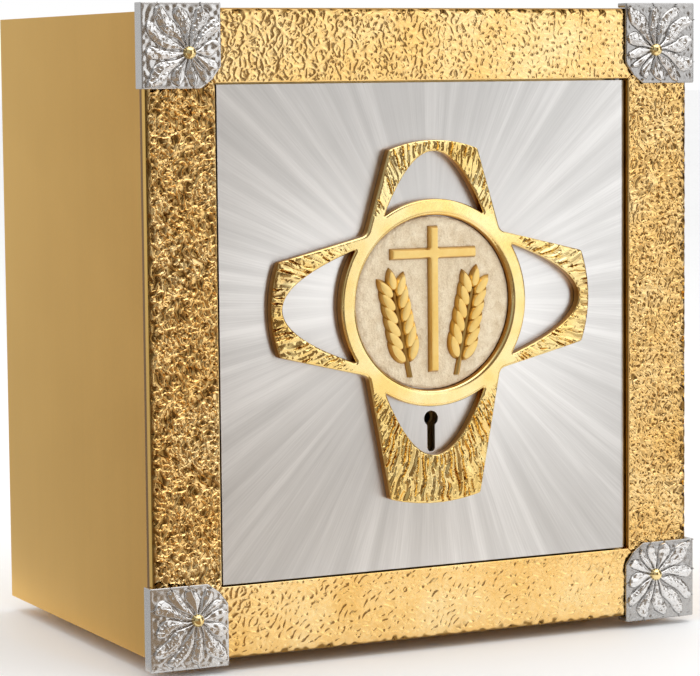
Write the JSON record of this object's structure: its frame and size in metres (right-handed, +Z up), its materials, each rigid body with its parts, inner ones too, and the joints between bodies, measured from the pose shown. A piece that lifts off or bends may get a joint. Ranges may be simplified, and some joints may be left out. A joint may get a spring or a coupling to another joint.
{
  "type": "tabernacle box",
  "caption": "Gilt tabernacle box with a hammered front frame, cast corner plates and a hinged, lockable silvered door bearing a pierced cross ornament and a relief medallion.",
  "frame": {"origin": "middle of the overall footprint, on the plane the feet stand on", "axes": "+Z up, -Y the way the door faces, +X towards the hinge side"},
  "size_m": [0.293, 0.2038, 0.3085],
  "materials": {
    "satin_gold": "satin gold-plated brass sheet with a fine upright grain",
    "hammered_gold": "polished gold plate over a hammered surface",
    "polished_gold": "polished gold-plated casting with hammered dimples",
    "cast_silver": "silver-plated casting with polished petals and stippled outer ends",
    "brushed_silver": "silver-plated sheet brushed outward from the ornament",
    "champagne_ground": "sanded pale gold",
    "relief_gold": "satin gold",
    "liner_gold": "satin gold-plated sheet",
    "plain_brass": "plain brass",
    "bright_steel": "bright steel",
    "foot_rubber": "black rubber"
  },
  "bodies": {
    "cabinet": {"case_shell": "satin_gold", "back_panel": "satin_gold", "back_screw_1": "bright_steel", "back_screw_2": "bright_steel", "back_screw_3": "bright_steel", "back_screw_4": "bright_steel", "door_stop_frame": "plain_brass", "rail_top": "hammered_gold", "rail_bottom": "hammered_gold", "stile_left": "hammered_gold", "stile_right": "hammered_gold", "rail_top_screw": "bright_steel", "rail_bottom_screw": "bright_steel", "stile_left_screw": "bright_steel", "stile_right_screw": "bright_steel", "corner_plate_top_left": "cast_silver", "corner_plate_top_right": "cast_silver", "corner_plate_bottom_right": "cast_silver", "corner_plate_bottom_left": "cast_silver", "corner_stud_top_left": "polished_gold", "corner_stud_top_right": "polished_gold", "corner_stud_bottom_right": "polished_gold", "corner_stud_bottom_left": "polished_gold", "foot_1": "foot_rubber", "foot_2": "foot_rubber", "foot_3": "foot_rubber", "foot_4": "foot_rubber", "foot_screw_1": "bright_steel", "foot_screw_2": "bright_steel", "foot_screw_3": "bright_steel", "foot_screw_4": "bright_steel", "strike_plate": "bright_steel", "strike_screw_1": "bright_steel", "strike_screw_2": "bright_steel", "pivot_bush_top": "plain_brass", "pivot_bush_bottom": "plain_brass"},
    "door": {"door_panel": "brushed_silver", "door_liner": "liner_gold", "liner_screw_1": "bright_steel", "liner_screw_2": "bright_steel", "liner_screw_3": "bright_steel", "liner_screw_4": "bright_steel", "door_pivot_pin_top": "bright_steel", "door_pivot_pin_bottom": "bright_steel", "cross_ornament": "polished_gold", "ornament_nut_1": "plain_brass", "ornament_nut_2": "plain_brass", "ornament_nut_3": "plain_brass", "ornament_nut_4": "plain_brass", "medallion_disc": "champagne_ground", "medallion_cross": "relief_gold", "wheat_ear_left": "relief_gold", "wheat_ear_right": "relief_gold", "lock_case": "plain_brass", "lock_cap": "plain_brass", "bolt_guide": "plain_brass", "bolt_spring": "bright_steel"},
    "bolt": {"lock_bolt": "bright_steel"}
  },
  "joints": [
    {"name": "door_hinge", "type": "hinge", "parent": "cabinet", "child": "door", "pos_m": [0.1055, -0.0916, 0.156], "axis": [0, 0, 1], "range_deg": [0, 98]},
    {"name": "bolt_slide", "type": "slide", "parent": "door", "child": "bolt", "axis": [-1, 0, 0], "range_m": [0, 0.008]}
  ]
}
